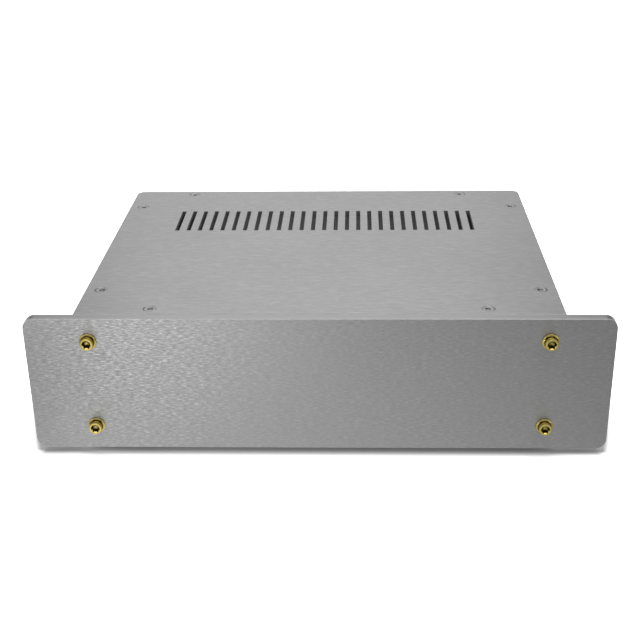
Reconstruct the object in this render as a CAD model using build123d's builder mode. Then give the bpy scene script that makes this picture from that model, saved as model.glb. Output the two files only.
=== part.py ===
from build123d import *

import os

# Amplifier chassis: an empty aluminium case for building an amplifier into.
# A thick front panel stands wider than the body behind it. The body is two plates, two side
# extrusions and a rear panel, tied together by four cross bars and standing on four rubber feet.
# Millimetres. X runs to the right as seen from the front, Y to the rear and Z up. The origin lies
# on the floor under the centre of the overall box.

os.makedirs("parts", exist_ok=True)

# Front panel
panel_width = 320.0
panel_height = 80.0
panel_thickness = 6.0
panel_corner_radius = 6.0
panel_edge_chamfer = 0.3

# Body behind the front panel, measured over its top and base plates
ear_width = 26.5
body_depth = 209.0
panel_below_body = 1.0
plate_thickness = 3.0
plate_corner_radius = 5.0
plate_edge_chamfer = 0.4
plate_overhang = 1.5
rear_panel_thickness = 2.5
seam_gap = 0.2

# Row of vent slots, the same in both plates
slot_count = 27
slot_pitch = 7.3
slot_width = 2.7
slot_length = 36.5
slot_rear_inset = 42.5

# Side extrusions: a web with a flange along each plate and two screw ports
web_thickness = 4.0
flange_reach = 15.0
flange_thickness = 4.0
extrusion_inner_radius = 1.5
extrusion_edge_chamfer = 0.4
port_wall = 2.0
port_standoff = 3.0
port_inset = 13.5
port_mouth_width = 1.6

# Cross bars between the side extrusions
bar_depth = 12.0
bar_height = 10.0
bar_end_gap = 0.5
bar_edge_chamfer = 0.5
bar_screw_spread = 120.0

# Where the plate screws stand
side_screw_inset = 9.0
side_screw_end_inset = 33.5
end_screw_inset = 7.5
end_screw_side_inset = 41.0

# M4 and M3 screws
m4_diameter = 4.0
m3_diameter = 3.0
thread_clearance = 0.05
m4_through_clearance = 0.25
m3_through_clearance = 0.2
screw_tip_chamfer = 0.4
blind_hole_margin = 1.5

# Flat head screws with a hex socket
flat_m4_head_diameter = 6.9
flat_m3_head_diameter = 5.6
flat_head_rim = 0.1
flat_head_sink = 0.15
flat_head_seat_gap = 0.05
flat_socket_share = 0.55
plate_screw_length = 8.0
rear_bar_screw_length = 8.0

# Cap head screws with a hex socket
cap_head_diameter = 7.0
cap_head_height = 4.0
cap_head_chamfer = 0.4
cap_socket_depth = 2.0
gold_head_height = 3.4
gold_head_rounding = 0.4
gold_socket_depth = 1.8
gold_screw_length = 16.0
front_bar_screw_length = 16.0
front_bar_thread_skin = 1.8

# Button head screws with a hex socket
button_m4_head_diameter = 7.6
button_m4_head_height = 2.2
button_m4_top_diameter = 3.6
button_m3_head_diameter = 5.7
button_m3_head_height = 1.65
button_m3_top_diameter = 2.8
button_head_rim = 0.3
button_socket_share = 0.6
rear_panel_screw_length = 10.0
foot_screw_length = 10.0

# Hex sockets, across flats
gold_socket = 4.0
m4_cap_socket = 3.0
m4_low_socket = 2.5
m3_low_socket = 2.0

# Gold trim washers under the front screws: a short rim and a cone up to the screw head
trim_washer_diameter = 9.6
trim_washer_top_diameter = 7.4
trim_washer_rim = 0.5
trim_washer_height = 1.1

# Rubber feet, each held by a screw, a washer and a nut
foot_height = 5.0
foot_top_diameter = 20.0
foot_bottom_diameter = 18.0
foot_edge_chamfer = 0.8
foot_side_inset = 25.0
foot_end_inset = 25.0
foot_recess_diameter = 8.4
foot_recess_depth = 2.9
foot_washer_diameter = 7.0
foot_washer_thickness = 0.5
nut_across_flats = 5.5
nut_height = 2.4

# Levels above the floor
plate_gap_height = panel_height - panel_below_body - 2 * plate_thickness
base_bottom = foot_height
base_top = base_bottom + plate_thickness
cover_bottom = base_top + plate_gap_height
cover_top = cover_bottom + plate_thickness
panel_bottom = base_bottom - panel_below_body
mid_level = (base_bottom + cover_top) / 2
panel_mid_level = panel_bottom + panel_height / 2

# Distances from front to rear
front_screw_stack = trim_washer_height + gold_head_height
rear_screw_reach = max(0.0, button_m4_head_height - plate_overhang)
overall_depth = front_screw_stack + panel_thickness + body_depth + rear_screw_reach
panel_front = front_screw_stack - overall_depth / 2
panel_back = panel_front + panel_thickness
plate_rear = panel_back + body_depth
plate_mid_depth = (panel_back + plate_rear) / 2
rear_panel_outer = plate_rear - plate_overhang
rear_panel_inner = rear_panel_outer - rear_panel_thickness
extrusion_length = rear_panel_inner - panel_back

# Distances to each side of the centre
body_width = panel_width - 2 * ear_width
web_outer = body_width / 2 - plate_overhang
web_inner = web_outer - web_thickness
flange_tip = web_outer - flange_reach
port_x = web_inner - port_standoff
bar_length = 2 * (flange_tip - bar_end_gap)

# Hole radii
m4_thread_radius = m4_diameter / 2 + thread_clearance
m3_thread_radius = m3_diameter / 2 + thread_clearance
m4_through_radius = m4_diameter / 2 + m4_through_clearance
m3_through_radius = m3_diameter / 2 + m3_through_clearance
flat_seat_margin = flat_head_rim + flat_head_sink + flat_head_seat_gap
m4_countersink_radius = flat_m4_head_diameter / 2 + flat_seat_margin
m3_countersink_radius = flat_m3_head_diameter / 2 + flat_seat_margin
port_radius = m4_thread_radius + port_wall

# Screw positions, as X and Y on the plates and as X and Z on the two panels
side_screw_x = body_width / 2 - side_screw_inset
end_screw_x = body_width / 2 - end_screw_side_inset
side_screw_reach = body_depth / 2 - side_screw_end_inset
end_screw_reach = body_depth / 2 - end_screw_inset
side_screw_spots = [
    (x, plate_mid_depth + y)
    for x in (-side_screw_x, side_screw_x)
    for y in (-side_screw_reach, side_screw_reach)
]
end_screw_spots = [
    (x, plate_mid_depth + y)
    for x in (-end_screw_x, end_screw_x)
    for y in (-end_screw_reach, end_screw_reach)
]
plate_screw_spots = side_screw_spots + end_screw_spots
port_levels = (base_bottom + port_inset, cover_top - port_inset)
port_spots = [(x, z) for x in (-port_x, port_x) for z in port_levels]
bar_levels = {"bottom": base_top + bar_height / 2, "top": cover_bottom - bar_height / 2}
bar_screw_x = bar_screw_spread / 2
bar_screw_spots = [(x, z) for x in (-bar_screw_x, bar_screw_x) for z in bar_levels.values()]
foot_x = body_width / 2 - foot_side_inset
foot_depths = {"front": panel_back + foot_end_inset, "rear": plate_rear - foot_end_inset}
foot_spots = [(x, y) for x in (-foot_x, foot_x) for y in foot_depths.values()]


def facing_front(y):
    """The upright plane at depth y that looks out of the front, with X to the right and Z up."""
    return Plane((0, y, 0), x_dir=(1, 0, 0), z_dir=(0, -1, 0))


def facing_rear(y):
    """The upright plane at depth y that looks out of the rear, with X to its left and Z up."""
    return Plane((0, y, 0), x_dir=(-1, 0, 0), z_dir=(0, 1, 0))


def facing_down(z):
    """The level plane at height z that looks down, with X kept and Y reversed."""
    return Plane((0, 0, z), x_dir=(1, 0, 0), z_dir=(0, 0, -1))


def seen_from_below(spots):
    """Plate positions as the plane that looks down reads them."""
    return [(x, -y) for x, y in spots]


def save(builder, name):
    builder.part.label = name
    export_step(builder.part, f"parts/{name}.step")


def flat_head_screw(diameter, length, head_diameter, socket):
    """Countersunk screw along Z, with the top of its head at the origin."""
    head_radius = head_diameter / 2
    shank_radius = diameter / 2
    head_height = flat_head_rim + head_radius - shank_radius
    with BuildPart() as screw:
        with BuildSketch(Plane.XZ):
            with BuildLine():
                Polyline(
                    (0, 0),
                    (head_radius, 0),
                    (head_radius, -flat_head_rim),
                    (shank_radius, -head_height),
                    (shank_radius, screw_tip_chamfer - length),
                    (shank_radius - screw_tip_chamfer, -length),
                    (0, -length),
                    close=True,
                )
            make_face()
        revolve(axis=Axis.Z)
        with BuildSketch():
            RegularPolygon(socket / 2, 6, major_radius=False)
        extrude(amount=-flat_socket_share * head_height, mode=Mode.SUBTRACT)
    return screw.part


def cap_head_screw(length, head_height, ease_rim, rim_size, socket, socket_depth):
    """M4 cap screw along Z, with the underside of its head at the origin and the head above it.

    ease_rim is the operation that eases the top edge of the head: fillet or chamfer.
    """
    with BuildPart() as screw:
        Cylinder(cap_head_diameter / 2, head_height, align=(Align.CENTER, Align.CENTER, Align.MIN))
        ease_rim(screw.edges().group_by(Axis.Z)[-1], rim_size)
        Cylinder(m4_diameter / 2, length, align=(Align.CENTER, Align.CENTER, Align.MAX))
        chamfer(screw.edges().group_by(Axis.Z)[0], screw_tip_chamfer)
        with BuildSketch(Plane.XY.offset(head_height)):
            RegularPolygon(socket / 2, 6, major_radius=False)
        extrude(amount=-socket_depth, mode=Mode.SUBTRACT)
    return screw.part


def button_head_screw(diameter, length, head_diameter, head_height, top_diameter, socket):
    """Domed screw along Z, with the underside of its head at the origin and the head above it."""
    head_radius = head_diameter / 2
    shank_radius = diameter / 2
    with BuildPart() as screw:
        with BuildSketch(Plane.XZ):
            with BuildLine():
                crown = Line((0, head_height), (top_diameter / 2, head_height))
                dome = TangentArc(
                    (top_diameter / 2, head_height), (head_radius, button_head_rim), tangent=crown % 1
                )
                Polyline(
                    dome @ 1,
                    (head_radius, 0),
                    (shank_radius, 0),
                    (shank_radius, screw_tip_chamfer - length),
                    (shank_radius - screw_tip_chamfer, -length),
                    (0, -length),
                    (0, head_height),
                )
            make_face()
        revolve(axis=Axis.Z)
        with BuildSketch(Plane.XY.offset(head_height)):
            RegularPolygon(socket / 2, 6, major_radius=False)
        extrude(amount=-button_socket_share * head_height, mode=Mode.SUBTRACT)
    return screw.part


# Front panel: plain face, a hole at each screw port and blind threads for the front cross bars
with BuildPart() as front_panel:
    with BuildSketch(facing_front(panel_back)):
        with Locations((0, panel_mid_level)):
            RectangleRounded(panel_width, panel_height, panel_corner_radius)
    extrude(amount=panel_thickness)
    chamfer(front_panel.faces().sort_by(Axis.Y)[0].edges(), panel_edge_chamfer)
    chamfer(front_panel.faces().sort_by(Axis.Y)[-1].edges(), panel_edge_chamfer)
    with Locations(facing_front(panel_front)):
        with Locations(*port_spots):
            Hole(m4_through_radius, depth=panel_thickness)
    with Locations(facing_rear(panel_back)):
        with Locations(*bar_screw_spots):
            Hole(m4_thread_radius, depth=panel_thickness - front_bar_thread_skin)
save(front_panel, "front_panel")


def vented_plate(outer_face, spots):
    """Plate lying under its outer face, square at the front and round at its rear corners."""
    plate_front = panel_back + seam_gap
    side = outer_face.z_dir.Z
    with BuildPart() as plate:
        with BuildSketch(outer_face):
            with Locations((0, side * (plate_front + plate_rear) / 2)):
                Rectangle(body_width, plate_rear - plate_front)
        extrude(amount=-plate_thickness)
        fillet(plate.edges().filter_by(Axis.Z).group_by(Axis.Y)[-1], plate_corner_radius)
        outer_edges = plate.faces().sort_by(Axis.Z)[-1 if side > 0 else 0].edges()
        chamfer(outer_edges, plate_edge_chamfer)
        with BuildSketch(outer_face):
            with Locations((0, side * (plate_rear - slot_rear_inset - slot_length / 2))):
                with GridLocations(slot_pitch, 0, slot_count, 1):
                    Rectangle(slot_width, slot_length)
        extrude(amount=-plate_thickness, mode=Mode.SUBTRACT)
        with Locations(outer_face):
            with Locations(*spots):
                CounterSinkHole(m4_through_radius, m4_countersink_radius, counter_sink_angle=90)
    return plate


# Top cover
top_cover = vented_plate(Plane.XY.offset(cover_top), plate_screw_spots)
save(top_cover, "top_cover")

# Base plate: the same plate turned over, with a hole for each foot
base_plate = vented_plate(facing_down(base_bottom), seen_from_below(plate_screw_spots))
with base_plate:
    with Locations(facing_down(base_bottom)):
        with Locations(*seen_from_below(foot_spots)):
            Hole(m3_through_radius, depth=plate_thickness)
save(base_plate, "base_plate")

# Side extrusions: one profile, left and right
for side_name, side in (("left", -1), ("right", 1)):
    with BuildPart() as side_extrusion:
        with BuildSketch(facing_front(panel_back)):
            with Locations((side * (web_outer - flange_reach / 2), mid_level)):
                Rectangle(flange_reach, plate_gap_height)
            with Locations((side * flange_tip, mid_level)):
                RectangleRounded(
                    2 * (flange_reach - web_thickness),
                    plate_gap_height - 2 * flange_thickness,
                    extrusion_inner_radius,
                    mode=Mode.SUBTRACT,
                )
            for level in port_levels:
                with Locations((side * port_x, level)):
                    Circle(port_radius)
                with Locations((side * (port_x + port_standoff / 2), level)):
                    Rectangle(port_standoff, 2 * port_radius)
            for level in port_levels:
                with Locations((side * port_x, level)):
                    Circle(m4_thread_radius, mode=Mode.SUBTRACT)
                with Locations((side * (port_x - port_radius / 2), level)):
                    Rectangle(port_radius, port_mouth_width, mode=Mode.SUBTRACT)
        extrude(amount=-extrusion_length)
        outer_corners = side_extrusion.edges().filter_by(Axis.Y).group_by(Axis.X)[0 if side < 0 else -1]
        chamfer(outer_corners, extrusion_edge_chamfer)
        near_spots = [spot for spot in side_screw_spots if spot[0] * side > 0]
        with Locations(Plane.XY.offset(cover_bottom)):
            with Locations(*near_spots):
                Hole(m4_thread_radius, depth=flange_thickness + extrusion_inner_radius)
        with Locations(facing_down(base_top)):
            with Locations(*seen_from_below(near_spots)):
                Hole(m4_thread_radius, depth=flange_thickness + extrusion_inner_radius)
    save(side_extrusion, f"{side_name}_side_extrusion")

# Rear panel: blank, held at the screw ports and to the rear cross bars
with BuildPart() as rear_panel:
    with BuildSketch(facing_rear(rear_panel_outer)):
        with Locations((0, mid_level)):
            Rectangle(2 * web_outer, plate_gap_height - 2 * seam_gap)
    extrude(amount=-rear_panel_thickness)
    chamfer(rear_panel.faces().sort_by(Axis.Y)[-1].edges(), plate_edge_chamfer)
    with Locations(facing_rear(rear_panel_outer)):
        with Locations(*port_spots):
            Hole(m4_through_radius, depth=rear_panel_thickness)
        with Locations(*bar_screw_spots):
            CounterSinkHole(m3_through_radius, m3_countersink_radius, counter_sink_angle=90)
save(rear_panel, "rear_panel")

# Cross bars: one behind each long edge of the two panels
thread_depth = plate_screw_length - plate_thickness + blind_hole_margin
for end_name, bar_front in (("front", panel_back), ("rear", rear_panel_inner - bar_depth)):
    for level_name, level in bar_levels.items():
        with BuildPart() as cross_bar:
            with BuildSketch(facing_front(bar_front)):
                with Locations((0, level)):
                    Rectangle(bar_length, bar_height)
            extrude(amount=-bar_depth)
            chamfer(cross_bar.edges().filter_by(Axis.X), bar_edge_chamfer)
            bar_spots = [spot for spot in end_screw_spots if bar_front < spot[1] < bar_front + bar_depth]
            bolt_spots = [spot for spot in bar_screw_spots if spot[1] == level]
            if level_name == "top":
                with Locations(Plane.XY.offset(cover_bottom)):
                    with Locations(*bar_spots):
                        Hole(m4_thread_radius, depth=thread_depth)
            else:
                with Locations(facing_down(base_top)):
                    with Locations(*seen_from_below(bar_spots)):
                        Hole(m4_thread_radius, depth=thread_depth)
            with Locations(facing_rear(bar_front + bar_depth)):
                with Locations(*bolt_spots):
                    if end_name == "front":
                        Hole(m4_through_radius, depth=bar_depth)
                    else:
                        Hole(
                            m3_thread_radius,
                            depth=rear_bar_screw_length - rear_panel_thickness + blind_hole_margin,
                        )
        save(cross_bar, f"{end_name}_{level_name}_bar")

# Gold trim washers on the front panel
with BuildPart() as trim_washer:
    with BuildSketch(Plane.XZ):
        with BuildLine():
            Polyline(
                (m4_through_radius, 0),
                (trim_washer_diameter / 2, 0),
                (trim_washer_diameter / 2, trim_washer_rim),
                (trim_washer_top_diameter / 2, trim_washer_height),
                (m4_through_radius, trim_washer_height),
                close=True,
            )
        make_face()
    revolve(axis=Axis.Z)
with BuildPart(facing_front(panel_front)) as gold_washers:
    with Locations(*port_spots):
        add(trim_washer.part)
save(gold_washers, "gold_washers")

# Gold cap screws through the front panel into the screw ports
with BuildPart(facing_front(panel_front - trim_washer_height)) as gold_screws:
    with Locations(*port_spots):
        add(
            cap_head_screw(
                gold_screw_length,
                gold_head_height,
                fillet,
                gold_head_rounding,
                gold_socket,
                gold_socket_depth,
            )
        )
save(gold_screws, "gold_screws")

# Flat head screws of the two plates
plate_screw = flat_head_screw(m4_diameter, plate_screw_length, flat_m4_head_diameter, m4_low_socket)
with BuildPart(Plane.XY.offset(cover_top - flat_head_sink)) as top_cover_screws:
    with Locations(*plate_screw_spots):
        add(plate_screw)
save(top_cover_screws, "top_cover_screws")
with BuildPart(facing_down(base_bottom + flat_head_sink)) as base_plate_screws:
    with Locations(*seen_from_below(plate_screw_spots)):
        add(plate_screw)
save(base_plate_screws, "base_plate_screws")

# Button head screws that hold the rear panel to the screw ports
with BuildPart(facing_rear(rear_panel_outer)) as rear_panel_screws:
    with Locations(*port_spots):
        add(
            button_head_screw(
                m4_diameter,
                rear_panel_screw_length,
                button_m4_head_diameter,
                button_m4_head_height,
                button_m4_top_diameter,
                m4_low_socket,
            )
        )
save(rear_panel_screws, "rear_panel_screws")

# Flat head screws that hold the rear panel to the rear cross bars
with BuildPart(facing_rear(rear_panel_outer - flat_head_sink)) as rear_bar_screws:
    with Locations(*bar_screw_spots):
        add(flat_head_screw(m3_diameter, rear_bar_screw_length, flat_m3_head_diameter, m3_low_socket))
save(rear_bar_screws, "rear_bar_screws")

# Cap screws that hold the front cross bars to the back of the front panel
with BuildPart(facing_rear(panel_back + bar_depth)) as front_bar_screws:
    with Locations(*bar_screw_spots):
        add(
            cap_head_screw(
                front_bar_screw_length,
                cap_head_height,
                chamfer,
                cap_head_chamfer,
                m4_cap_socket,
                cap_socket_depth,
            )
        )
save(front_bar_screws, "front_bar_screws")

# Rubber feet: tapered, with a recess from below for the screw head
for end_name, foot_y in foot_depths.items():
    for side_name, side in (("left", -1), ("right", 1)):
        foot_centre = Vector(side * foot_x, foot_y, 0)
        with BuildPart() as foot:
            with BuildSketch(Plane(foot_centre, x_dir=(1, 0, 0), z_dir=(0, -1, 0))):
                with BuildLine():
                    Polyline(
                        (m3_through_radius, foot_recess_depth),
                        (foot_recess_diameter / 2, foot_recess_depth),
                        (foot_recess_diameter / 2, 0),
                        (foot_bottom_diameter / 2, 0),
                        (foot_top_diameter / 2, foot_height),
                        (m3_through_radius, foot_height),
                        close=True,
                    )
                make_face()
            revolve(axis=Axis(foot_centre, (0, 0, 1)))
            floor_edges = foot.edges().group_by(Axis.Z)[0].sort_by(SortBy.LENGTH)
            chamfer(floor_edges[-1], foot_edge_chamfer)
        save(foot, f"{end_name}_{side_name}_foot")

# Steel washers, screws and nuts of the feet
foot_washer_level = foot_recess_depth - foot_washer_thickness
with BuildPart(Plane.XY.offset(foot_washer_level)) as foot_washers:
    with Locations(*foot_spots):
        Cylinder(
            foot_washer_diameter / 2, foot_washer_thickness, align=(Align.CENTER, Align.CENTER, Align.MIN)
        )
        Hole(m3_through_radius)
save(foot_washers, "foot_washers")
with BuildPart(facing_down(foot_washer_level)) as foot_screws:
    with Locations(*seen_from_below(foot_spots)):
        add(
            button_head_screw(
                m3_diameter,
                foot_screw_length,
                button_m3_head_diameter,
                button_m3_head_height,
                button_m3_top_diameter,
                m3_low_socket,
            )
        )
save(foot_screws, "foot_screws")
with BuildPart() as foot_nuts:
    with BuildSketch(Plane.XY.offset(base_top)):
        with Locations(*foot_spots):
            RegularPolygon(nut_across_flats / 2, 6, major_radius=False)
            Circle(m3_thread_radius, mode=Mode.SUBTRACT)
    extrude(amount=nut_height)
save(foot_nuts, "foot_nuts")
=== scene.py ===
import math

import bpy
from bpy.props import FloatProperty, FloatVectorProperty, IntProperty, PointerProperty
from bpy.types import Operator, Panel, PropertyGroup
from mathutils import Matrix, Vector


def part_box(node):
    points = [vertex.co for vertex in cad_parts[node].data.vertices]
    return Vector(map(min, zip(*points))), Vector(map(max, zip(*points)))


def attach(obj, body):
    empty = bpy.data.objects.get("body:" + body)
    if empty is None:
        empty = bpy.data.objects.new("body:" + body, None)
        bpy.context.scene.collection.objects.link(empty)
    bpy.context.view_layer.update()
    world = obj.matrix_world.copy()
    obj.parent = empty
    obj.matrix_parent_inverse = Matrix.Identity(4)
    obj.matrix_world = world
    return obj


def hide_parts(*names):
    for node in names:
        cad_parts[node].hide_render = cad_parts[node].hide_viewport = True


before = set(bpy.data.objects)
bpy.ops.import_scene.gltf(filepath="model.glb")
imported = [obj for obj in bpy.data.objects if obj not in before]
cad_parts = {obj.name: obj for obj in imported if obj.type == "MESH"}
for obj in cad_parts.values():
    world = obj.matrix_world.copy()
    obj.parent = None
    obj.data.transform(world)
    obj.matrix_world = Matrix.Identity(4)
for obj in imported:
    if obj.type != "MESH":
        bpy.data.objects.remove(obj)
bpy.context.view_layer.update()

bl_info = {
    "name": "Amplifier chassis finish",
    "version": (1, 0, 0),
    "blender": (4, 5, 0),
    "location": "View3D > Sidebar > Chassis",
    "description": "Finishes, fasteners, feet and studio stage of an aluminium amplifier chassis",
    "category": "Object",
}

BODY = "root"
MM = 0.001
QUARTER_TURN = math.pi / 2
FULL_TURN = 2 * math.pi
HEX_SIDES = 6
FRONT = (0, -1, 0)
REAR = (0, 1, 0)
UP = (0, 0, 1)
DOWN = (0, 0, -1)


# Settings

class ChassisFinish(PropertyGroup):
    """Colours and roughness of the metal and rubber."""

    front_colour: FloatVectorProperty(
        name="Front panel", description="Brushed face of the front panel",
        subtype="COLOR", size=4, default=(0.5, 0.5, 0.5, 1.0), min=0.0, max=1.0,
    )
    plate_colour: FloatVectorProperty(
        name="Plates", description="Brushed faces of the top cover, base plate and rear panel",
        subtype="COLOR", size=4, default=(0.5, 0.5, 0.5, 1.0), min=0.0, max=1.0,
    )
    extrusion_colour: FloatVectorProperty(
        name="Side extrusions", description="Satin faces of the side extrusions",
        subtype="COLOR", size=4, default=(0.4, 0.4, 0.405, 1.0), min=0.0, max=1.0,
    )
    bar_colour: FloatVectorProperty(
        name="Cross bars", description="Mill finish of the cross bars",
        subtype="COLOR", size=4, default=(0.45, 0.45, 0.45, 1.0), min=0.0, max=1.0,
    )
    gold_colour: FloatVectorProperty(
        name="Gold plating", description="Front screws and trim washers",
        subtype="COLOR", size=4, default=(0.68, 0.55, 0.17, 1.0), min=0.0, max=1.0,
    )
    steel_colour: FloatVectorProperty(
        name="Steel", description="Plain screws, washers and nuts",
        subtype="COLOR", size=4, default=(0.5, 0.5, 0.5, 1.0), min=0.0, max=1.0,
    )
    rubber_colour: FloatVectorProperty(
        name="Rubber", description="Moulded feet",
        subtype="COLOR", size=4, default=(0.02, 0.02, 0.021, 1.0), min=0.0, max=1.0,
    )
    brushed_roughness: FloatProperty(
        name="Brushed roughness", description="Mean roughness of the brushed faces",
        default=0.42, min=0.05, max=1.0,
    )
    brushed_anisotropy: FloatProperty(
        name="Brushed stretch", description="How far highlights stretch across the brushing",
        default=0.75, min=0.0, max=1.0,
    )
    # Painted shade on the plates' edges and bevels, given as the share of colour they keep.
    painted_edge_share: FloatProperty(
        name="Edge share", description="How much of the colour the cut edges of the plates keep",
        default=0.75, min=0.0, max=1.0,
    )


class ChassisGrain(PropertyGroup):
    """Size, depth and contrast of the brushing."""

    dash_length: FloatProperty(
        name="Dash length", description="Typical length of one coarse brush mark on the front panel",
        default=3.3 * MM, min=0.1 * MM, unit="LENGTH",
    )
    dash_width: FloatProperty(
        name="Dash width", description="Typical width of one coarse brush mark on the front panel",
        default=0.38 * MM, min=0.01 * MM, unit="LENGTH",
    )
    line_length: FloatProperty(
        name="Line length", description="Typical length of one brush line on the plates",
        default=6.0 * MM, min=0.1 * MM, unit="LENGTH",
    )
    line_width: FloatProperty(
        name="Line width", description="Typical width of one brush line on the plates",
        default=0.9 * MM, min=0.01 * MM, unit="LENGTH",
    )
    hair_length: FloatProperty(
        name="Hairline length", description="Typical length of the finest scratches",
        default=45.0 * MM, min=0.1 * MM, unit="LENGTH",
    )
    hair_width: FloatProperty(
        name="Hairline width", description="Typical width of the finest scratches",
        default=0.16 * MM, min=0.01 * MM, unit="LENGTH",
    )
    front_depth: FloatProperty(
        name="Front brush depth", description="Height of the brush marks on the front panel",
        default=0.03 * MM, min=0.0, unit="LENGTH",
    )
    plate_depth: FloatProperty(
        name="Plate brush depth", description="Height of the brush lines on the plates",
        default=0.01 * MM, min=0.0, unit="LENGTH",
    )
    front_contrast: FloatProperty(
        name="Front contrast", description="How strongly the coarse brush marks show on the front panel",
        default=1.12, min=0.0,
    )
    plate_contrast: FloatProperty(
        name="Plate contrast", description="How strongly the brush lines show on the plates",
        default=0.2, min=0.0,
    )


class ChassisHardware(PropertyGroup):
    """Sizes of the turned and threaded details."""

    ring_points: IntProperty(
        name="Points per ring", description="Points round each turned piece, a multiple of six",
        default=96, min=24,
    )
    knurl_count: IntProperty(
        name="Knurl teeth", description="Teeth round a cap head", default=32, min=0,
    )
    knurl_depth: FloatProperty(
        name="Knurl depth", description="Depth of the teeth round a cap head",
        default=0.12 * MM, min=0.0, unit="LENGTH",
    )
    m4_pitch: FloatProperty(
        name="M4 pitch", description="Thread pitch of the M4 screws",
        default=0.7 * MM, min=0.1 * MM, unit="LENGTH",
    )
    m3_pitch: FloatProperty(
        name="M3 pitch", description="Thread pitch of the M3 screws",
        default=0.5 * MM, min=0.1 * MM, unit="LENGTH",
    )
    edge_rounding: FloatProperty(
        name="Edge rounding", description="Radius of the worn edges of screws and washers",
        default=0.15 * MM, min=0.01 * MM, unit="LENGTH",
    )


class ChassisStage(PropertyGroup):
    """Floor, light and camera."""

    floor_colour: FloatVectorProperty(
        name="Floor", description="Pale studio floor",
        subtype="COLOR", size=4, default=(0.82, 0.82, 0.82, 1.0), min=0.0, max=1.0,
    )
    floor_size: FloatProperty(
        name="Floor size", description="Length of each side of the floor",
        default=30.0, min=1.0, unit="LENGTH",
    )
    backdrop_gain: FloatProperty(
        name="Floor brightness in view", description="Brightness of the floor where the camera sees it",
        default=3.4, min=0.1,
    )
    # Reach of the painted shadow under the chassis.
    contact_reach: FloatProperty(
        name="Contact shadow", description="How far the shadow under the chassis reaches",
        default=0.02, min=0.001, unit="LENGTH",
    )
    # The floor's painted glow in reflections, and its bright spot.
    pool_light: FloatProperty(
        name="Floor in reflections", description="Level of the lit floor that the metal mirrors",
        default=0.99, min=0.0,
    )
    glare_light: FloatProperty(
        name="Glare in reflections",
        description="Level that the lit spot at the front left adds to the floor",
        default=5.5, min=0.0,
    )
    rear_light: FloatProperty(
        name="Rear light", description="Level of the light behind the chassis that the cover mirrors",
        default=0.81, min=0.0,
    )
    room_light: FloatProperty(
        name="Room light", description="Level of the room under the ceiling", default=0.03, min=0.0,
    )
    front_light: FloatProperty(
        name="Front light", description="Level of the soft light high in front", default=0.45, min=0.0,
    )
    side_light: FloatProperty(
        name="Side light", description="Level of the room far to the left and right",
        default=0.7, min=0.0,
    )
    sky_light: FloatProperty(
        name="Ceiling light", description="Level of the ceiling", default=0.62, min=0.0,
    )
    top_power: FloatProperty(
        name="Top light", description="Power of the soft light overhead",
        default=5.0, min=0.0, unit="POWER",
    )
    inside_power: FloatProperty(
        name="Inside light", description="Power of the weak light that shows the inside through the slots",
        default=0.02, min=0.0, unit="POWER",
    )
    camera_place: FloatVectorProperty(
        name="Camera place", description="Where the camera stands",
        subtype="TRANSLATION", size=3, default=(0.02122, -0.65864, 0.33998),
    )
    camera_pitch: FloatProperty(
        name="Camera pitch", description="How far the camera looks down",
        default=0.4341, subtype="ANGLE",
    )
    camera_yaw: FloatProperty(
        name="Camera yaw", description="How far the camera looks to the left",
        default=0.03592, subtype="ANGLE",
    )
    camera_roll: FloatProperty(
        name="Camera roll", description="How far the camera leans", default=-0.01504, subtype="ANGLE",
    )
    camera_lens: FloatProperty(
        name="Lens", description="Focal length on a sensor 36 mm wide", default=64.2, min=10.0,
    )


def settings():
    """The scene, which holds the four groups of settings."""
    return bpy.context.scene


# Shader helpers

# Most of a noise lies between these two values.
NOISE_SPREAD = (0.3, 0.7)


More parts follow.
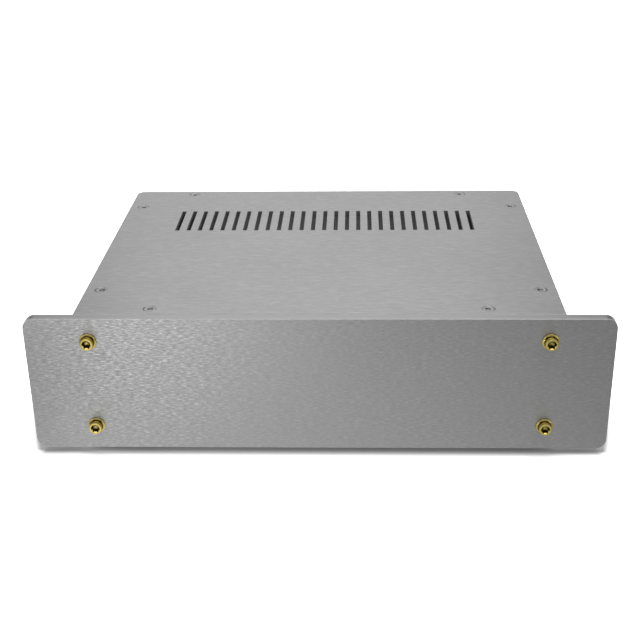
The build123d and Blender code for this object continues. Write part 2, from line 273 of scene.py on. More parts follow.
class Shader:
    """A material or world under construction, with short ways to add and join nodes."""

    def __init__(self, owner):
        owner.use_nodes = True
        self.tree = owner.node_tree
        self.tree.nodes.clear()

    def node(self, kind, **options):
        made = self.tree.nodes.new(kind)
        for key, value in options.items():
            setattr(made, key, value)
        return made

    def join(self, source, target):
        self.tree.links.new(source, target)

    def feed(self, node, inputs):
        """Sets or joins the inputs of a node, named or numbered."""
        for key, value in inputs.items():
            if isinstance(value, bpy.types.NodeSocket):
                self.join(value, node.inputs[key])
            else:
                node.inputs[key].default_value = value
        return node

    def math(self, operation, *values):
        made = self.node("ShaderNodeMath", operation=operation)
        return self.feed(made, dict(enumerate(values))).outputs[0]

    def add(self, first, *others):
        for value in others:
            first = self.math("ADD", first, value)
        return first

    def multiply(self, first, *others):
        for value in others:
            first = self.math("MULTIPLY", first, value)
        return first

    def span(self, value, low, high, to_low, to_high, smooth=False):
        """value taken from low..high to to_low..to_high."""
        made = self.node("ShaderNodeMapRange", interpolation_type="SMOOTHSTEP" if smooth else "LINEAR")
        return self.feed(made, dict(enumerate((value, low, high, to_low, to_high)))).outputs[0]

    def vary(self, noise, to_low, to_high):
        """A noise taken to to_low..to_high."""
        return self.span(noise, *NOISE_SPREAD, to_low, to_high)

    def noise(self, lengths, detail=2.0, seed=0.0, fineness=0.55):
        """Noise whose grains are as long as lengths say along X, Y and Z."""
        place = self.node("ShaderNodeTexCoord").outputs["Object"]
        mapping = self.feed(self.node("ShaderNodeMapping"), {
            "Vector": place,
            "Location": (seed, seed, seed),
            "Scale": tuple(1.0 / length for length in lengths),
        })
        noise = self.feed(self.node("ShaderNodeTexNoise"), {
            "Vector": mapping.outputs[0], "Scale": 1.0, "Detail": detail, "Roughness": fineness,
        })
        return noise.outputs["Fac"]

    def bump(self, height, depth, share=1.0, over=None):
        """Normal of a surface whose height goes up and down by depth, over another bump if one is given."""
        inputs = {"Strength": share, "Distance": depth, "Height": height}
        if over:
            inputs["Normal"] = over
        return self.feed(self.node("ShaderNodeBump"), inputs).outputs[0]

    def openness(self, reach):
        """How much of its surroundings within reach the shaded point sees, from 0 to 1."""
        return self.feed(self.node("ShaderNodeAmbientOcclusion"), {"Distance": reach}).outputs["AO"]

    def distance_from(self, place):
        """Distance of the shaded point from a place."""
        made = self.node("ShaderNodeVectorMath", operation="DISTANCE")
        self.feed(made, {0: self.node("ShaderNodeTexCoord").outputs["Object"], 1: place})
        return made.outputs["Value"]

    def parts(self, vector):
        """The X, Y and Z of a vector."""
        return self.feed(self.node("ShaderNodeSeparateXYZ"), {0: vector}).outputs

    def shade(self, colour, share):
        """A plain colour made lighter or darker by a share of one value."""
        grey = self.feed(self.node("ShaderNodeCombineColor"), {0: share, 1: share, 2: share}).outputs[0]
        made = self.node("ShaderNodeMix", data_type="RGBA", blend_type="MULTIPLY")
        made.inputs["Factor"].default_value = 1.0
        plain, shares = [socket for socket in made.inputs if socket.type == "RGBA"]
        plain.default_value = tuple(colour)
        self.join(grey, shares)
        return next(socket for socket in made.outputs if socket.type == "RGBA")

    def mix(self, share, first, second):
        """One surface or light where share is 0, another where it is 1."""
        return self.feed(self.node("ShaderNodeMixShader"), {0: share, 1: first, 2: second}).outputs[0]

    def principled(self, inputs):
        surface = self.feed(self.node("ShaderNodeBsdfPrincipled"), inputs)
        self.join(surface.outputs[0], self.node("ShaderNodeOutputMaterial").inputs["Surface"])


# Finishes

# Brushing runs along X. The small other shares keep a direction on faces that look along X too.
NEAR_X = (1.0, 0.05, 0.03)
# The part of the coarse noise that shows as streaks, and how dark and light they are at a contrast of 1.
STREAK_NOISE = (0.44, 0.8)
STREAK_TONES = (-0.24, 1.16)
# Where painted glints make the brush marks on the front panel strongest and lightest, and how far that
# reaches.
GLINT_SPOT = (-108 * MM, -106 * MM, 66 * MM)
GLINT_REACH = 95 * MM
# Between these parts of its normal, a face goes from looking forwards to being an edge of the front
# panel, and from being an edge of a plate, dimmed with painted shade, to lying level.
FORWARD_EDGE = (-0.9, -0.5)
LEVEL_EDGE = (0.75, 0.95)
CLOUD_SIZE = (60 * MM, 60 * MM, 25 * MM)
DIE_LINE = (400 * MM, 0.5 * MM)


def grain_lengths(along, across, grain_axis):
    """Grain lengths along X, Y and Z for brushing that runs along one of them."""
    return tuple(along if axis == grain_axis else across for axis in "XYZ")


def even(size):
    """Grain lengths that are the same along X, Y and Z."""
    return (size, size, size)


def brushed_aluminium(name, colour, marks, depth, contrast, glint_spot=None, painted_edge_share=1.0):
    """Aluminium brushed along X on every face, with marks of some length and width.

    The spot argument is where painted glints make the marks of a front strongest and lightest, and how far
    that reaches. Its edges have few.
    The edge share argument is how much of the colour the cut edges and bevels of a level plate keep under
    painted shade.
    """
    finish = settings().chassis_finish
    grain = settings().chassis_grain
    material = bpy.data.materials.new(name)
    shader = Shader(material)
    coarse = shader.noise(grain_lengths(*marks, "X"), detail=3.0, fineness=0.7)
    hairs = shader.noise(grain_lengths(grain.hair_length, grain.hair_width, "X"), seed=9.1)
    clouds = shader.noise(CLOUD_SIZE, seed=5.3)
    streaks = shader.span(coarse, *STREAK_NOISE, *(contrast * tone for tone in STREAK_TONES))
    normal = shader.node("ShaderNodeNewGeometry").outputs["Normal"]
    facing = shader.parts(normal)
    bump_share = 1.0
    # Painted glints: near the spot the brush streaks are lighter and stronger, fading to plain grain beyond
    # it.
    if glint_spot:
        place, reach = glint_spot
        edge_marks, far_marks = 0.1, 0.27
        bump_share = shader.span(facing[1], *FORWARD_EDGE, 1.0, edge_marks)
        glint_strength = shader.span(shader.distance_from(place), 0.0, reach, 1.0, far_marks, smooth=True)
        streaks = shader.multiply(glint_strength, bump_share, streaks)
    fine = shader.add(shader.vary(hairs, -0.03, 0.03), shader.vary(clouds, -0.02, 0.02))
    tone = shader.add(streaks, fine, 1.0)
    # Painted shade: plate faces that tilt away from level are darkened.
    if painted_edge_share < 1.0:
        level = shader.math("ABSOLUTE", facing[2])
        tone = shader.multiply(tone, shader.span(level, *LEVEL_EDGE, painted_edge_share, 1.0))
    roughest, smoothest = finish.brushed_roughness + 0.03, finish.brushed_roughness - 0.03
    bumps = shader.bump(coarse, depth, share=bump_share)
    across = shader.node("ShaderNodeVectorMath", operation="CROSS_PRODUCT")
    shader.feed(across, {0: normal, 1: NEAR_X})
    shader.principled({
        "Base Color": shader.shade(colour, tone),
        "Metallic": 1.0,
        "Roughness": shader.add(shader.vary(coarse, roughest, smoothest), shader.vary(clouds, -0.02, 0.02)),
        "Anisotropic": finish.brushed_anisotropy,
        "Normal": shader.bump(hairs, 0.1 * depth, over=bumps),
        "Tangent": across.outputs[0],
    })
    return material


def drawn_aluminium(name, colour, grain_axis, roughness, depth):
    """Aluminium with the faint lines of a die or a rolling mill along one axis."""
    grain = settings().chassis_grain
    material = bpy.data.materials.new(name)
    shader = Shader(material)
    lines = shader.noise(grain_lengths(*DIE_LINE, grain_axis), detail=3.0)
    hairs = shader.noise(grain_lengths(grain.hair_length, grain.hair_width, grain_axis), seed=2.9)
    clouds = shader.noise(even(30 * MM), seed=6.1)
    rough = shader.vary(lines, roughness - 0.05, roughness + 0.05)
    tone = shader.add(shader.vary(lines, 0.94, 1.06), shader.vary(clouds, -0.03, 0.03))
    shader.principled({
        "Base Color": shader.shade(colour, tone),
        "Metallic": 1.0,
        "Roughness": shader.add(rough, shader.vary(hairs, -0.03, 0.03)),
        "Normal": shader.bump(lines, depth),
    })
    return material


def gold_plating():
    """Polished gold with slight ripples and handling marks, and painted shade in corners and sockets."""
    material = bpy.data.materials.new("gold_plating")
    shader = Shader(material)
    ripples = shader.noise(even(1.2 * MM))
    marks = shader.noise(even(0.3 * MM), detail=4.0, seed=4.4)
    # Painted shade: darker where little of the surroundings within reach is open, in corners and sockets,
    # and a little lighter where all is open.
    sheltered, open_side = 0.74, 0.99
    darkest, lightest = 0.01, 1.1
    corners = shader.span(shader.openness(2 * MM), sheltered, open_side, darkest, lightest)
    tone = shader.multiply(shader.vary(marks, 0.9, 1.08), corners)
    shader.principled({
        "Base Color": shader.shade(settings().chassis_finish.gold_colour, tone),
        "Metallic": 1.0,
        "Roughness": shader.vary(marks, 0.05, 0.12),
        "Normal": shader.bump(ripples, 0.02 * MM),
    })
    return material


def plain_steel():
    """Passivated steel with a fine grain."""
    material = bpy.data.materials.new("screw_steel")
    shader = Shader(material)
    grains = shader.noise(even(0.25 * MM), detail=4.0)
    patches = shader.noise(even(2.0 * MM), seed=7.7)
    tone = shader.add(shader.vary(grains, 0.92, 1.06), shader.vary(patches, -0.04, 0.04))
    shader.principled({
        "Base Color": shader.shade(settings().chassis_finish.steel_colour, tone),
        "Metallic": 1.0,
        "Roughness": shader.vary(grains, 0.24, 0.38),
        "Normal": shader.bump(grains, 0.01 * MM),
    })
    return material


def moulded_rubber():
    """Matt rubber with a fine pebble and a dusty sheen."""
    material = bpy.data.materials.new("foot_rubber")
    shader = Shader(material)
    pebbles = shader.noise(even(0.4 * MM), detail=3.0)
    patches = shader.noise(even(5 * MM), seed=1.9)
    tone = shader.add(shader.vary(pebbles, 0.8, 1.2), shader.vary(patches, -0.15, 0.15))
    shader.principled({
        "Base Color": shader.shade(settings().chassis_finish.rubber_colour, tone),
        "Roughness": shader.vary(patches, 0.6, 0.75),
        "Normal": shader.bump(pebbles, 0.05 * MM, share=0.6),
    })
    return material


# Mesh helpers

# Corners of the frame's meshes whose places agree to this many digits, in metres, are one corner.
SAME_PLACE_DIGITS = 7
SHARP_ANGLE = math.radians(35)


def dress(node, material):
    """Gives a piece of the frame its finish."""
    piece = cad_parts[node]
    piece.data.materials.clear()
    piece.data.materials.append(material)


def islands(node):
    """Lowest and highest corner of each separate solid in a piece of the frame."""
    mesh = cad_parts[node].data
    parent = list(range(len(mesh.vertices)))

    def root(index):
        while parent[index] != index:
            parent[index] = parent[parent[index]]
            index = parent[index]
        return index

    places = {}
    for vertex in mesh.vertices:
        key = tuple(round(value, SAME_PLACE_DIGITS) for value in vertex.co)
        parent[vertex.index] = places.setdefault(key, vertex.index)
    for edge in mesh.edges:
        first, second = (root(index) for index in edge.vertices)
        parent[max(first, second)] = min(first, second)
    groups = {}
    for vertex in mesh.vertices:
        groups.setdefault(root(vertex.index), []).append(vertex.co)
    boxes = []
    for points in groups.values():
        low = Vector(min(point[axis] for point in points) for axis in range(3))
        high = Vector(max(point[axis] for point in points) for axis in range(3))
        boxes.append((low, high))
    return boxes


def turned_mesh(name, rings, places, closed_ends=True):
    """A mesh of the same stack of rings at each place. A ring gives radius and height by angle."""
    points = settings().chassis_hardware.ring_points
    vertices, faces = [], []
    for place in places:
        start = len(vertices)
        for ring in rings:
            for index in range(points):
                angle = FULL_TURN * index / points
                radius, height = ring(angle)
                point = Vector((radius * math.cos(angle), radius * math.sin(angle), height))
                vertices.append(place @ point)
        for level in range(len(rings) - 1 if closed_ends else len(rings)):
            lower = start + level * points
            upper = start + (level + 1) % len(rings) * points
            for index in range(points):
                after = (index + 1) % points
                faces.append((lower + index, upper + index, upper + after, lower + after))
        if closed_ends:
            faces.append(tuple(start + index for index in range(points)))
            last = start + (len(rings) - 1) * points
            faces.append(tuple(last + index for index in reversed(range(points))))
    mesh = bpy.data.meshes.new(name)
    mesh.from_pydata([tuple(vertex) for vertex in vertices], [], faces)
    mesh.shade_smooth()
    mesh.set_sharp_from_angle(angle=SHARP_ANGLE)
    mesh.validate()
    piece = bpy.data.objects.new(name, mesh)
    bpy.context.scene.collection.objects.link(piece)
    return piece


def stand_in(piece, node, material):
    """Puts a detailed piece in the place of a node of the frame."""
    piece.data.materials.append(material)
    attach(piece, BODY)
    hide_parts(node)


def frames_at(node, axis):
    """A frame at the outer end of each solid of a node, with its Z along axis."""
    outward = Vector(axis)
    turn = outward.to_track_quat("Z", "Y").to_matrix().to_4x4()
    places = []
    for low, high in islands(node):
        centre = (low + high) / 2
        reach = abs((high - low).dot(outward)) / 2
        places.append(Matrix.Translation(centre + outward * reach) @ turn)
    return places


def length_along(node, axis):
    """Length of the first solid of a node along an axis. The others are its copies."""
    low, high = islands(node)[0]
    return abs((high - low).dot(Vector(axis)))


# Rings of turned shapes

M4_RADIUS = 2.0 * MM
M3_RADIUS = 1.5 * MM
M4_CAP_RADIUS = 3.5 * MM
CORNER_STEPS = 6
DOME_STEPS = 8
THREAD_STEPS = 6
# A metric thread is about this share of its pitch deep.
THREAD_DEPTH = 0.6
PLAIN_SHANK = 0.3 * MM
SOCKET_MOUTH = 0.12 * MM


def round_ring(radius, height):
    return lambda angle: (radius, height)


def hex_ring(across_flats, height):
    """A ring that follows a hexagon."""
    sector = FULL_TURN / HEX_SIDES

    def place(angle):
        offset = (angle % sector) - sector / 2
        return across_flats / 2 / math.cos(offset), height

    return place


def knurled_ring(radius, height, count, depth):
    def place(angle):
        return radius - depth * (0.5 + 0.5 * math.cos(count * angle)), height

    return place


def thread_rings(radius, top, bottom, pitch):
    """Rings of a right-hand thread from top down to bottom, fading in and out at its ends."""
    depth = THREAD_DEPTH * pitch
    count = max(1, round((top - bottom) / pitch * THREAD_STEPS))
    rings = []
    for number in range(count + 1):
        height = top + (bottom - top) * number / count
        fade = min(1.0, number / THREAD_STEPS, (count - number) / THREAD_STEPS)

        def place(angle, height=height, fade=fade):
            phase = (height / pitch - angle / FULL_TURN) % 1.0
            flank = abs(2 * phase - 1)
            return radius - depth * (fade * flank + (1 - fade)), height

        rings.append(place)
    return rings


def upper_corner(radius, height, rounding, count, depth):
    """Rings round an outer edge, from its top face to its side, with teeth that deepen on the way."""
    rings = []
    for number in range(CORNER_STEPS + 1):
        turn = number / CORNER_STEPS * QUARTER_TURN
        reach, drop = math.sin(turn), 1 - math.cos(turn)
        ring_radius = radius - rounding + rounding * reach
        rings.append(knurled_ring(ring_radius, height - rounding * drop, count, depth * reach))
    return rings


def lower_corner(radius, height, rounding):
    """Rings round an outer edge, from its side to its underside."""
    rings = []
    for number in range(CORNER_STEPS + 1):
        turn = number / CORNER_STEPS * QUARTER_TURN
        reach, drop = math.cos(turn), math.sin(turn)
        rings.append(round_ring(radius - rounding + rounding * reach, height + rounding - rounding * drop))
    return rings


def socket_rings(across_flats, depth, mouth_depth):
    """Rings of a hex socket below height zero, from its drilled floor up to a chamfered mouth.

    The mouth's radius is a little over the hexagon's corners, which are at 0.577 of its width.
    """
    drill_tip, drill_depth, mouth_radius = 0.05 * across_flats, 0.12 * across_flats, 0.62 * across_flats
    return [
        round_ring(drill_tip, -depth - drill_depth),
        hex_ring(0.9 * across_flats, -depth),
        hex_ring(across_flats, -0.93 * depth),
        hex_ring(across_flats, -mouth_depth),
        round_ring(mouth_radius, 0.0),
    ]


def cap_screw_rings(length, head_height, rounding, socket, socket_depth, mouth_depth, pitch):
    """M4 cap screw with a knurled head, its head's top at height zero."""
    hardware = settings().chassis_hardware
    foot_rounding = hardware.edge_rounding
    tooth = (hardware.knurl_count, hardware.knurl_depth)
    knurl_end, neck = 0.3 * MM, 0.1 * MM
    rings = socket_rings(socket, socket_depth, mouth_depth)
    rings += upper_corner(M4_CAP_RADIUS, 0.0, rounding, *tooth)
    rings.append(knurled_ring(M4_CAP_RADIUS, -head_height + foot_rounding + knurl_end, *tooth))
    rings += lower_corner(M4_CAP_RADIUS - hardware.knurl_depth, -head_height, foot_rounding)
    rings += [
        round_ring(M4_RADIUS + neck, -head_height),
        round_ring(M4_RADIUS, -head_height - neck),
    ]
    rings += thread_rings(M4_RADIUS, -head_height - PLAIN_SHANK, -length, pitch)
    return rings


def flat_screw_rings(length, head_radius, shank_radius, socket, pitch):
    """Countersunk screw with its head's top at height zero."""
    rim, bevel, plain_end = 0.1 * MM, 0.35 * MM, 0.2 * MM
    cone_end = -(rim + head_radius - shank_radius)
    socket_depth = 0.55 * -cone_end
    rings = socket_rings(socket, socket_depth, SOCKET_MOUTH)
    rings += [
        round_ring(head_radius - bevel, 0.0),
        round_ring(head_radius - bevel / 3, -0.4 * rim),
        round_ring(head_radius - 0.5 * rim, -1.5 * rim),
        round_ring(shank_radius, cone_end),
    ]
    rings += thread_rings(shank_radius, cone_end - plain_end, -length, pitch)
    return rings


def button_screw_rings(length, head_radius, head_height, top_radius, shank_radius, socket, pitch):
    """Domed screw with its head's top at height zero."""
    rim, underside, neck = 0.3 * MM, 0.05 * MM, 0.02 * MM
    socket_depth = 0.6 * head_height
    rings = socket_rings(socket, socket_depth, SOCKET_MOUTH)
    for number in range(DOME_STEPS + 1):
        turn = number / DOME_STEPS * QUARTER_TURN
        reach = top_radius + (head_radius - top_radius) * math.sin(turn)
        rings.append(round_ring(reach, -(head_height - rim) * (1 - math.cos(turn))))
    rings += [
        round_ring(head_radius - underside, -head_height),
        round_ring(shank_radius, -head_height - neck),
    ]
    rings += thread_rings(shank_radius, -head_height - PLAIN_SHANK, -length, pitch)
    return rings


def trim_washer_rings(rounding):
    """Trim washer with a flat top, a cone and a short rim round its bore, its top at height zero."""
    height, rim = 1.1 * MM, 0.5 * MM
    outer, top, bore = 4.8 * MM, 3.7 * MM, 2.25 * MM
    return [
        round_ring(bore, 0.0),
        round_ring(top - rounding, 0.0),
        round_ring(top, -0.4 * rounding),
        round_ring(outer - 0.5 * rounding, rim - height + 0.3 * rounding),
        round_ring(outer - 0.1 * rounding, rim - height - 0.3 * rounding),
        round_ring(outer, rim - height - 1.2 * rounding),
        round_ring(outer, -height),
        round_ring(bore, -height),
    ]


# Pieces

class CHASSIS_OT_front_panel(Operator):
    """Brush the front panel along its length"""

    bl_idname = "chassis.front_panel"
    bl_label = "Front panel"

    def execute(self, context):
        grain = context.scene.chassis_grain
        material = brushed_aluminium(
            "brushed_front", context.scene.chassis_finish.front_colour,
            (grain.dash_length, grain.dash_width), grain.front_depth, grain.front_contrast,
            glint_spot=(GLINT_SPOT, GLINT_REACH),
        )
        dress("front_panel", material)
        return {"FINISHED"}


class CHASSIS_OT_plates(Operator):
    """Brush the top cover and the base plate across the chassis"""

    bl_idname = "chassis.plates"
    bl_label = "Top cover and base plate"

    def execute(self, context):
        grain = context.scene.chassis_grain
        material = brushed_aluminium(
            "brushed_plate", context.scene.chassis_finish.plate_colour,
            (grain.line_length, grain.line_width), grain.plate_depth, grain.plate_contrast,
            painted_edge_share=context.scene.chassis_finish.painted_edge_share,
        )
        for node in ("top_cover", "base_plate"):
            dress(node, material)
        return {"FINISHED"}


class CHASSIS_OT_rear_panel(Operator):
    """Brush the rear panel across the chassis"""

    bl_idname = "chassis.rear_panel"
    bl_label = "Rear panel"

    def execute(self, context):
        grain = context.scene.chassis_grain
        material = brushed_aluminium(
            "brushed_rear", context.scene.chassis_finish.plate_colour,
            (grain.line_length, grain.line_width), grain.plate_depth, grain.plate_contrast,
        )
        dress("rear_panel", material)
        return {"FINISHED"}


class CHASSIS_OT_side_extrusions(Operator):
    """Give the side extrusions the faint lines of their die"""

    bl_idname = "chassis.side_extrusions"
    bl_label = "Side extrusions"

    def execute(self, context):
        colour = context.scene.chassis_finish.extrusion_colour
        roughness, depth = 0.38, 0.03 * MM
        material = drawn_aluminium("extruded_aluminium", colour, "Y", roughness, depth)
        for side in ("left", "right"):
            dress(f"{side}_side_extrusion", material)
        return {"FINISHED"}


class CHASSIS_OT_cross_bars(Operator):
    """Give the cross bars their mill finish"""

    bl_idname = "chassis.cross_bars"
    bl_label = "Cross bars"

    def execute(self, context):
        colour = context.scene.chassis_finish.bar_colour
        roughness, depth = 0.34, 0.02 * MM
        material = drawn_aluminium("bar_aluminium", colour, "X", roughness, depth)
        for end in ("front", "rear"):
            for level in ("top", "bottom"):
                dress(f"{end}_{level}_bar", material)
        return {"FINISHED"}


class CHASSIS_OT_gold_hardware(Operator):
    """Turn the knurled gold screws and their trim washers"""

    bl_idname = "chassis.gold_hardware"
    bl_label = "Gold screws and washers"

    def execute(self, context):
        hardware = context.scene.chassis_hardware
        gold = gold_plating()
        low_cap_m4 = dict(
            head_height=3.4 * MM, rounding=0.4 * MM, socket=4.0 * MM,
            socket_depth=1.8 * MM, mouth_depth=0.5 * MM, pitch=hardware.m4_pitch,
        )
        rings = cap_screw_rings(length_along("gold_screws", FRONT), **low_cap_m4)
        screws = turned_mesh("gold_cap_screws", rings, frames_at("gold_screws", FRONT))
        stand_in(screws, "gold_screws", gold)
        rings = trim_washer_rings(hardware.edge_rounding)
        places = frames_at("gold_washers", FRONT)
        washers = turned_mesh("gold_trim_washers", rings, places, closed_ends=False)
        stand_in(washers, "gold_washers", gold)
        return {"FINISHED"}


class CHASSIS_OT_steel_hardware(Operator):
    """Turn the plain screws and finish the nuts and washers"""

    bl_idname = "chassis.steel_hardware"
    bl_label = "Steel screws, nuts and washers"

    def execute(self, context):
        hardware = context.scene.chassis_hardware
        steel = plain_steel()
        flat_m4 = dict(
            head_radius=3.45 * MM, shank_radius=M4_RADIUS, socket=2.5 * MM, pitch=hardware.m4_pitch,
        )
        flat_m3 = dict(
            head_radius=2.8 * MM, shank_radius=M3_RADIUS, socket=2.0 * MM, pitch=hardware.m3_pitch,
        )
        button_m4 = dict(
            head_radius=3.8 * MM, head_height=2.2 * MM, top_radius=1.8 * MM,
            shank_radius=M4_RADIUS, socket=2.5 * MM, pitch=hardware.m4_pitch,
        )
        button_m3 = dict(
            head_radius=2.85 * MM, head_height=1.65 * MM, top_radius=1.4 * MM,
            shank_radius=M3_RADIUS, socket=2.0 * MM, pitch=hardware.m3_pitch,
        )
        cap_m4 = dict(
            head_height=4.0 * MM, rounding=0.4 * MM, socket=3.0 * MM,
            socket_depth=2.0 * MM, mouth_depth=SOCKET_MOUTH, pitch=hardware.m4_pitch,
        )
        groups = (
            ("top_cover_screws", UP, flat_screw_rings, flat_m4),
            ("base_plate_screws", DOWN, flat_screw_rings, flat_m4),
            ("rear_bar_screws", REAR, flat_screw_rings, flat_m3),
            ("rear_panel_screws", REAR, button_screw_rings, button_m4),
            ("foot_screws", DOWN, button_screw_rings, button_m3),
            ("front_bar_screws", REAR, cap_screw_rings, cap_m4),
        )
        for node, axis, shape, sizes in groups:
            rings = shape(length_along(node, axis), **sizes)
            piece = turned_mesh(f"threaded_{node}", rings, frames_at(node, axis))
            stand_in(piece, node, steel)
        for node in ("foot_washers", "foot_nuts"):
            dress(node, steel)
        return {"FINISHED"}


class CHASSIS_OT_feet(Operator):
    """Give the feet their moulded rubber"""

    bl_idname = "chassis.feet"
    bl_label = "Rubber feet"

    def execute(self, context):
        rubber = moulded_rubber()
        for end in ("front", "rear"):
            for side in ("left", "right"):
                dress(f"{end}_{side}_foot", rubber)
        return {"FINISHED"}


# Stage

# The painted bright spot on the floor that the left of the front panel mirrors.
GLARE_SPOT = (-0.22, -0.55, 0.0)
GLARE_REACH = 0.25
# Where the light behind the chassis comes from. Below it, the soft edges of the room's lights are given
# as parts of a direction one unit long: to the right, to the rear and upwards.
REAR_LIGHT = Vector((-0.06, 0.9, 0.43)).normalized()
REAR_SPREAD = (0.6, 0.98)
REAR_LEFT_EDGE = (-0.3, -0.2)
REAR_RIGHT_EDGE = (0.08, 0.3)
CEILING_EDGE = (0.6, 0.85)
SIDE_EDGE = (0.42, 0.7)
FRONT_LOWER_EDGE = (0.2, 0.45)
FRONT_BACK_EDGE = (-0.6, -0.1)
TOP_LIGHT = dict(place=(0.0, -0.25, 1.2), target=(0.0, 0.0, 0.08), width=1.4, depth=1.05)
INSIDE_LIGHT = dict(place=(0.0, 0.0, 0.079), target=(0.0, 0.0, 0.0), width=0.18, depth=0.12)


def panel_shade(shader, place, lamp):
    """Painted shadow in the floor's colour behind the panel's ends, as a soft lamp at the camera would cast
    it.
    """
    panel_low, panel_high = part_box("front_panel")
    front, half_width = panel_low[1], panel_high[0]
    edge_inside, edge_outside = -2 * MM, 4.2 * MM
    start, fading, gone = 4 * MM, 15 * MM, 80 * MM
    light_left = 0.25
    sideways = shader.math("SUBTRACT", place[0], lamp[0])
    sight = shader.math("DIVIDE", sideways, shader.math("SUBTRACT", place[1], lamp[1]))
    crossing = shader.add(shader.multiply(sight, front - lamp[1]), lamp[0])
    outside = shader.math("SUBTRACT", shader.math("ABSOLUTE", crossing), half_width)
    beside = shader.span(outside, edge_inside, edge_outside, 1.0, 0.0, smooth=True)
    near = shader.span(place[1], front, front + start, 0.0, 1.0, smooth=True)
    far = shader.span(place[1], front + fading, front + gone, 1.0, 0.0, smooth=True)
    return shader.span(shader.multiply(near, far, beside), 0.0, 1.0, 1.0, light_left)


def contact_shadow(shader, place, reach):
    """Painted shadow in the floor's colour under the chassis and along the lower edge of the front panel.
    """
    panel_low, panel_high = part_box("front_panel")
    front, half_width = panel_low[1], panel_high[0]
    ear_start, ear_end = half_width - 35 * MM, half_width - 20 * MM
    end_start, end_gone = half_width - 4 * MM, half_width + 3 * MM
    ahead, fading, gone = 6 * MM, 20 * MM, 50 * MM
    darkest_middle, darkest_ears = front + 1.5 * MM, front + 5 * MM
    light_middle, light_ears, light_under = 0.35, 0.22, 0.14
    lean_width, lean_depth = 40 * MM, 1.6 * MM
    sheltered = shader.span(shader.openness(reach), 0.1, 0.8, light_under, 1.0)
    from_middle = shader.math("ABSOLUTE", place[0])
    darkest = shader.span(from_middle, ear_start, ear_end, darkest_middle, darkest_ears, smooth=True)
    # The shadow starts a little further forward at the left end.
    lean = shader.span(place[0], -half_width, -half_width + lean_width, lean_depth, 0.0)
    under = shader.span(shader.add(place[1], lean), front - ahead, darkest, 0.0, 1.0, smooth=True)
    behind = shader.span(place[1], front + fading, front + gone, 1.0, 0.0, smooth=True)
    beside = shader.span(from_middle, end_start, end_gone, 1.0, 0.0, smooth=True)
    light_left = shader.span(from_middle, ear_start, ear_end, light_middle, light_ears, smooth=True)
    band = shader.span(shader.multiply(under, behind, beside), 0.0, 1.0, 1.0, light_left)
    return shader.math("MINIMUM", sheltered, band)


def floor_pool(shader, place, stage):
    """Level of the floor's painted glow where metal mirrors it: a pool of light that fades to the right and
    far away.
    """
    right_share, far_share, left_share = 0.42, 0.15, 0.55
    slope_left, slope_right = -0.15, 0.2
    fading, faint = 0.5, 1.2
    dim_side, full_side = -0.22, -0.12
    slope = shader.span(place[0], slope_left, slope_right, stage.pool_light, right_share * stage.pool_light)
    reach = shader.span(shader.math("ABSOLUTE", place[1]), fading, faint, 1.0, far_share, smooth=True)
    left_side = shader.span(place[0], dim_side, full_side, left_share, 1.0, smooth=True)
    spot = shader.distance_from(GLARE_SPOT)
    glare = shader.span(spot, 0.0, GLARE_REACH, stage.glare_light, 0.0, smooth=True)
    return shader.multiply(shader.add(shader.multiply(slope, reach), glare), left_side)


def studio_floor(stage):
    """Pale floor with a painted soft shadow below the front panel. In reflections it glows as a painted
    pool of light.
    """
    material = bpy.data.materials.new("studio_floor")
    shader = Shader(material)
    place = shader.parts(shader.node("ShaderNodeTexCoord").outputs["Object"])
    # Painted shadows, multiplied into the floor's colour where the camera sees it.
    contact = contact_shadow(shader, place, stage.contact_reach)
    shadow = shader.math("MINIMUM", contact, panel_shade(shader, place, stage.camera_place))
    seen_colour = tuple(stage.backdrop_gain * value for value in stage.floor_colour[:3]) + (1.0,)
    seen = shader.feed(shader.node("ShaderNodeBsdfDiffuse"), {"Color": shader.shade(seen_colour, shadow)})
    plain = shader.feed(shader.node("ShaderNodeBsdfDiffuse"), {"Color": tuple(stage.floor_colour)})
    # Painted light: in reflections the floor glows with this pool instead of being lit.
    pool = floor_pool(shader, place, stage)
    mirrored = shader.feed(shader.node("ShaderNodeEmission"), {"Strength": pool})
    path = shader.node("ShaderNodeLightPath").outputs
    unseen = shader.mix(path["Is Glossy Ray"], plain.outputs[0], mirrored.outputs[0])
    surface = shader.mix(path["Is Camera Ray"], unseen, seen.outputs[0])
    shader.join(surface, shader.node("ShaderNodeOutputMaterial").inputs["Surface"])
    half = stage.floor_size / 2
    corners = [(-half, -half, 0), (half, -half, 0), (half, half, 0), (-half, half, 0)]
    mesh = bpy.data.meshes.new("studio_floor")
    mesh.from_pydata(corners, [], [(0, 1, 2, 3)])
    mesh.materials.append(material)
    floor = bpy.data.objects.new("studio_floor", mesh)
    bpy.context.scene.collection.objects.link(floor)


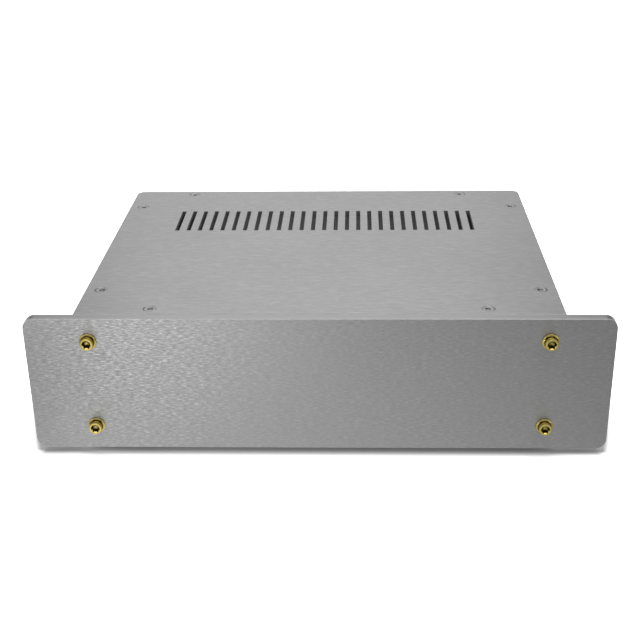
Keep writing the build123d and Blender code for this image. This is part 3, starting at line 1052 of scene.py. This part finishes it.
def studio_room(stage):
    """White where the camera sees it. The metal mirrors a dim room with a light rear and ceiling."""
    world = bpy.data.worlds.new("studio_room")
    bpy.context.scene.world = world
    shader = Shader(world)
    direction = shader.node("ShaderNodeTexCoord").outputs["Generated"]
    sideways, rearward, upwards = shader.parts(direction)
    towards_light = shader.node("ShaderNodeVectorMath", operation="DOT_PRODUCT")
    shader.feed(towards_light, {0: direction, 1: REAR_LIGHT})
    ceiling = shader.span(upwards, *CEILING_EDGE, stage.room_light, stage.sky_light, smooth=True)
    rear = shader.span(towards_light.outputs["Value"], *REAR_SPREAD, 0.0, stage.rear_light, smooth=True)
    left_end = shader.span(sideways, *REAR_LEFT_EDGE, 0.0, 1.0, smooth=True)
    right_end = shader.span(sideways, *REAR_RIGHT_EDGE, 1.0, 0.0, smooth=True)
    window = shader.multiply(left_end, right_end, rear)
    from_middle = shader.math("ABSOLUTE", sideways)
    sides = shader.span(from_middle, *SIDE_EDGE, 0.0, stage.side_light, smooth=True)
    front = shader.multiply(
        shader.span(upwards, *FRONT_LOWER_EDGE, 0.0, stage.front_light, smooth=True),
        shader.span(rearward, *FRONT_BACK_EDGE, 1.0, 0.0, smooth=True),
    )
    level = ceiling
    for light in (front, window, sides):
        level = shader.math("MAXIMUM", level, light)
    background = {"Color": (1, 1, 1, 1), "Strength": 1.0}
    white = shader.feed(shader.node("ShaderNodeBackground"), background)
    room = shader.feed(shader.node("ShaderNodeBackground"), {**background, "Strength": level})
    path = shader.node("ShaderNodeLightPath").outputs
    mixed = shader.mix(path["Is Camera Ray"], room.outputs[0], white.outputs[0])
    shader.join(mixed, shader.node("ShaderNodeOutputWorld").inputs["Surface"])


def soft_light(name, power, place, target, width, depth):
    """A lamp with a face of some width and depth that looks at a target."""
    lamp = bpy.data.lights.new(name, "AREA")
    lamp.shape = "RECTANGLE"
    lamp.size, lamp.size_y = width, depth
    lamp.energy = power
    light = bpy.data.objects.new(name, lamp)
    light.location = place
    light.rotation_euler = (Vector(target) - Vector(place)).to_track_quat("-Z", "Y").to_euler()
    bpy.context.scene.collection.objects.link(light)


def photo_camera(stage):
    """The camera at the place and angle of the photograph's."""
    lens = bpy.data.cameras.new("photo_camera")
    lens.lens = stage.camera_lens
    camera = bpy.data.objects.new("photo_camera", lens)
    turn = Matrix.Rotation(stage.camera_yaw, 4, "Z")
    turn = turn @ Matrix.Rotation(QUARTER_TURN - stage.camera_pitch, 4, "X")
    turn = turn @ Matrix.Rotation(stage.camera_roll, 4, "Z")
    camera.matrix_world = Matrix.Translation(Vector(stage.camera_place)) @ turn
    bpy.context.scene.collection.objects.link(camera)
    return camera


class CHASSIS_OT_stage(Operator):
    """Set the floor, the room, the lights and the camera"""

    bl_idname = "chassis.stage"
    bl_label = "Studio stage"

    def execute(self, context):
        scene = context.scene
        stage = scene.chassis_stage
        studio_floor(stage)
        studio_room(stage)
        soft_light("top_light", stage.top_power, **TOP_LIGHT)
        soft_light("inside_light", stage.inside_power, **INSIDE_LIGHT)
        scene.camera = photo_camera(stage)
        scene.view_settings.view_transform = "Standard"
        return {"FINISHED"}


class CHASSIS_PT_sidebar(Panel):
    """Settings and steps of the chassis"""

    bl_idname = "CHASSIS_PT_sidebar"
    bl_label = "Amplifier chassis"
    bl_space_type = "VIEW_3D"
    bl_region_type = "UI"
    bl_category = "Chassis"

    def draw(self, context):
        for group in SETTINGS:
            values = getattr(context.scene, group)
            box = self.layout.box()
            for key in values.bl_rna.properties.keys():
                if key not in ("rna_type", "name"):
                    box.prop(values, key)
        for step in STEPS:
            self.layout.operator(step.bl_idname)


SETTINGS = {
    "chassis_finish": ChassisFinish,
    "chassis_grain": ChassisGrain,
    "chassis_hardware": ChassisHardware,
    "chassis_stage": ChassisStage,
}
STEPS = (
    CHASSIS_OT_stage,
    CHASSIS_OT_front_panel,
    CHASSIS_OT_plates,
    CHASSIS_OT_rear_panel,
    CHASSIS_OT_side_extrusions,
    CHASSIS_OT_cross_bars,
    CHASSIS_OT_gold_hardware,
    CHASSIS_OT_steel_hardware,
    CHASSIS_OT_feet,
)
CLASSES = (*SETTINGS.values(), *STEPS, CHASSIS_PT_sidebar)


def register():
    for entry in CLASSES:
        bpy.utils.register_class(entry)
    for name, group in SETTINGS.items():
        setattr(bpy.types.Scene, name, PointerProperty(type=group))


def unregister():
    for name in SETTINGS:
        delattr(bpy.types.Scene, name)
    for entry in reversed(CLASSES):
        bpy.utils.unregister_class(entry)


def main():
    register()
    for step in STEPS:
        group, name = step.bl_idname.split(".")
        getattr(getattr(bpy.ops, group), name)()


if __name__ == "__main__":
    main()
